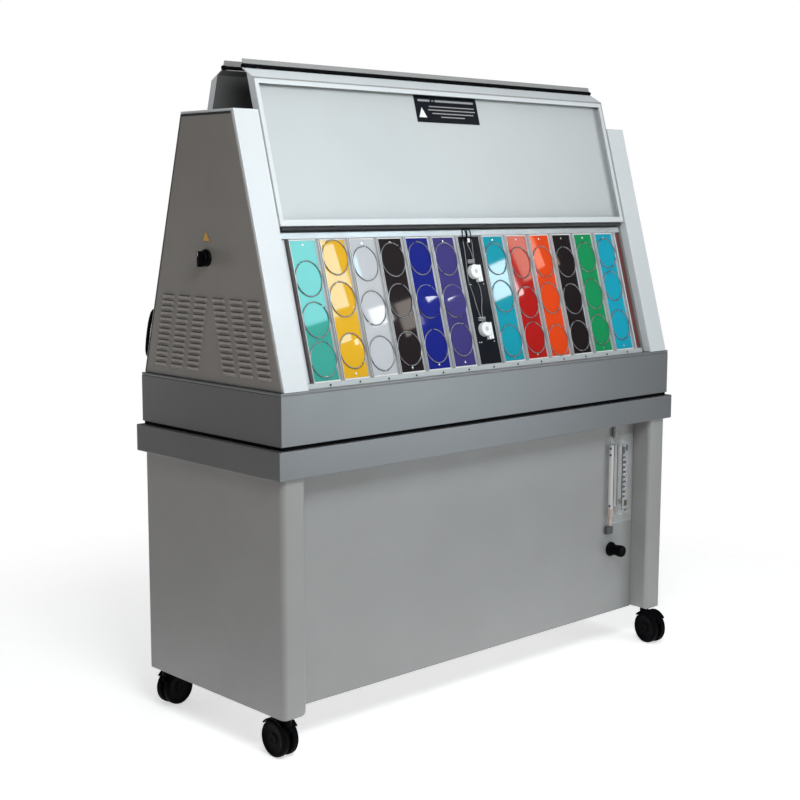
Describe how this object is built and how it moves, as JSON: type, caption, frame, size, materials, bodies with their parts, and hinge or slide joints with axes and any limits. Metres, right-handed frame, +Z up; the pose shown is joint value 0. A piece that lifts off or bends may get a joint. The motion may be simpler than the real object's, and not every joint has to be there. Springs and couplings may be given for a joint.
{
  "type": "accelerated weathering tester",
  "caption": "A-frame ultraviolet weathering chamber on a castered cabinet, doors folded open over two sloping racks of specimen holders.",
  "frame": {"origin": "on the floor, under the centre of the machine", "axes": "+Z up, -Y towards the front where the flow meter is, +X to the right as seen from the front"},
  "size_m": [1.3806, 0.5968, 1.5245],
  "materials": {
    "paint": "satin grey paint",
    "bright_paint": "satin silver-white paint",
    "rack_metal": "satin",
    "steel": "brushed",
    "dark_metal": "satin black",
    "black_plastic": "fine texture",
    "black_rubber": "matt",
    "silicone": "matt dark red-brown",
    "lamp": "glossy white",
    "clear_plastic": "clear, polished",
    "white_plastic": "smooth white",
    "specimen_coating": "high gloss paint in several plain colours"
  },
  "bodies": {
    "cabinet": {"floor_pan": "paint", "left_cabinet_side": "paint", "right_cabinet_side": "paint", "front_cabinet_panel": "paint", "rear_cabinet_panel": "paint", "cabinet_rim": "paint", "chamber_base_band": "paint", "left_tower_side_cover": "paint", "right_tower_side_cover": "paint", "front_upper_panel": "paint", "rear_upper_panel": "paint", "chamber_top_cap": "paint", "left_tower_shell": "bright_paint", "right_tower_shell": "bright_paint", "rim_gasket": "black_rubber", "tower_conduit": "black_rubber", "water_pan": "steel", "blower": "dark_metal", "front_door_hinge": "dark_metal", "rear_door_hinge": "dark_metal", "left_chamber_wall": "silicone", "right_chamber_wall": "silicone", "front_rack_frame": "rack_metal", "rear_rack_frame": "rack_metal", "rear_holder_bank": "rack_metal", "front_lamp_bank": "lamp", "rear_lamp_bank": "lamp", "flowmeter_body": "clear_plastic", "valve_bezel": "black_plastic", "isolator_base": "black_plastic"},
    "front_door": {"front_door_pan": "paint", "front_door_seal": "black_rubber", "front_door_handle": "bright_paint"},
    "rear_door": {"rear_door_pan": "paint", "rear_door_seal": "black_rubber", "rear_door_handle": "bright_paint"},
    "holder_01": {"front_holder_01": "rack_metal"},
    "holder_02": {"front_holder_02": "rack_metal"},
    "holder_03": {"front_holder_03": "rack_metal"},
    "holder_04": {"front_holder_04": "rack_metal"},
    "holder_05": {"front_holder_05": "rack_metal"},
    "holder_06": {"front_holder_06": "rack_metal"},
    "sensor_panel_body": {"sensor_panel": "rack_metal"},
    "holder_08": {"front_holder_08": "rack_metal"},
    "holder_09": {"front_holder_09": "rack_metal"},
    "holder_10": {"front_holder_10": "rack_metal"},
    "holder_11": {"front_holder_11": "rack_metal"},
    "holder_12": {"front_holder_12": "rack_metal"},
    "holder_13": {"front_holder_13": "rack_metal"},
    "front_left_caster": {"front_left_caster_hood": "black_plastic"},
    "front_left_wheels": {"front_left_caster_wheels": "black_rubber"},
    "front_right_caster": {"front_right_caster_hood": "black_plastic"},
    "front_right_wheels": {"front_right_caster_wheels": "black_rubber"},
    "rear_left_caster": {"rear_left_caster_hood": "black_plastic"},
    "rear_left_wheels": {"rear_left_caster_wheels": "black_rubber"},
    "rear_right_caster": {"rear_right_caster_hood": "black_plastic"},
    "rear_right_wheels": {"rear_right_caster_wheels": "black_rubber"},
    "flowmeter_float_body": {"flowmeter_float": "steel"},
    "valve_knob_body": {"valve_knob": "black_plastic"},
    "isolator_knob_body": {"isolator_knob": "black_plastic"}
  },
  "joints": [
    {"name": "front_door_hinge", "type": "hinge", "parent": "cabinet", "child": "front_door", "pos_m": [0, -0.15773, 1.15627], "axis": [-1, 0, 0], "range_deg": [-180, 0]},
    {"name": "rear_door_hinge", "type": "hinge", "parent": "cabinet", "child": "rear_door", "pos_m": [0, 0.15773, 1.15627], "axis": [1, 0, 0], "range_deg": [-180, 0]},
    {"name": "holder_01_slide", "type": "slide", "parent": "cabinet", "child": "holder_01", "axis": [0, -0.9634, 0.2679], "range_m": [0, 0.06]},
    {"name": "holder_02_slide", "type": "slide", "parent": "cabinet", "child": "holder_02", "axis": [0, -0.9634, 0.2679], "range_m": [0, 0.06]},
    {"name": "holder_03_slide", "type": "slide", "parent": "cabinet", "child": "holder_03", "axis": [0, -0.9634, 0.2679], "range_m": [0, 0.06]},
    {"name": "holder_04_slide", "type": "slide", "parent": "cabinet", "child": "holder_04", "axis": [0, -0.9634, 0.2679], "range_m": [0, 0.06]},
    {"name": "holder_05_slide", "type": "slide", "parent": "cabinet", "child": "holder_05", "axis": [0, -0.9634, 0.2679], "range_m": [0, 0.06]},
    {"name": "holder_06_slide", "type": "slide", "parent": "cabinet", "child": "holder_06", "axis": [0, -0.9634, 0.2679], "range_m": [0, 0.06]},
    {"name": "sensor_panel_slide", "type": "slide", "parent": "cabinet", "child": "sensor_panel_body", "axis": [0, -0.9634, 0.2679], "range_m": [0, 0.06]},
    {"name": "holder_08_slide", "type": "slide", "parent": "cabinet", "child": "holder_08", "axis": [0, -0.9634, 0.2679], "range_m": [0, 0.06]},
    {"name": "holder_09_slide", "type": "slide", "parent": "cabinet", "child": "holder_09", "axis": [0, -0.9634, 0.2679], "range_m": [0, 0.06]},
    {"name": "holder_10_slide", "type": "slide", "parent": "cabinet", "child": "holder_10", "axis": [0, -0.9634, 0.2679], "range_m": [0, 0.06]},
    {"name": "holder_11_slide", "type": "slide", "parent": "cabinet", "child": "holder_11", "axis": [0, -0.9634, 0.2679], "range_m": [0, 0.06]},
    {"name": "holder_12_slide", "type": "slide", "parent": "cabinet", "child": "holder_12", "axis": [0, -0.9634, 0.2679], "range_m": [0, 0.06]},
    {"name": "holder_13_slide", "type": "slide", "parent": "cabinet", "child": "holder_13", "axis": [0, -0.9634, 0.2679], "range_m": [0, 0.06]},
    {"name": "front_left_swivel", "type": "hinge", "parent": "cabinet", "child": "front_left_caster", "pos_m": [-0.64, -0.231, 0.095], "axis": [0, 0, 1], "continuous": true},
    {"name": "front_left_wheel_spin", "type": "hinge", "parent": "front_left_caster", "child": "front_left_wheels", "pos_m": [-0.64, -0.207, 0.04214], "axis": [-1, 0, 0], "continuous": true},
    {"name": "front_right_swivel", "type": "hinge", "parent": "cabinet", "child": "front_right_caster", "pos_m": [0.64, -0.231, 0.095], "axis": [0, 0, 1], "continuous": true},
    {"name": "front_right_wheel_spin", "type": "hinge", "parent": "front_right_caster", "child": "front_right_wheels", "pos_m": [0.63583, -0.25464, 0.04214], "axis": [0.9848, -0.1736, 0], "continuous": true},
    {"name": "rear_left_swivel", "type": "hinge", "parent": "cabinet", "child": "rear_left_caster", "pos_m": [-0.64, 0.231, 0.095], "axis": [0, 0, 1], "continuous": true},
    {"name": "rear_left_wheel_spin", "type": "hinge", "parent": "rear_left_caster", "child": "rear_left_wheels", "pos_m": [-0.61623, 0.23434, 0.04214], "axis": [-0.1392, 0.9903, 0], "continuous": true},
    {"name": "rear_right_swivel", "type": "hinge", "parent": "cabinet", "child": "rear_right_caster", "pos_m": [0.64, 0.231, 0.095], "axis": [0, 0, 1], "continuous": true},
    {"name": "rear_right_wheel_spin", "type": "hinge", "parent": "rear_right_caster", "child": "rear_right_wheels", "pos_m": [0.652, 0.25178, 0.04214], "axis": [-0.866, 0.5, 0], "continuous": true},
    {"name": "float_rise", "type": "slide", "parent": "cabinet", "child": "flowmeter_float_body", "axis": [0, 0, 1], "range_m": [0, 0.13]},
    {"name": "valve_turn", "type": "hinge", "parent": "cabinet", "child": "valve_knob_body", "pos_m": [0.512, -0.2189, 0.276], "axis": [0, -1, 0], "range_deg": [0, 720]},
    {"name": "isolator_turn", "type": "hinge", "parent": "cabinet", "child": "isolator_knob_body", "pos_m": [-0.6738, 0.004, 1.091], "axis": [-1, 0, 0], "range_deg": [0, 90]}
  ]
}
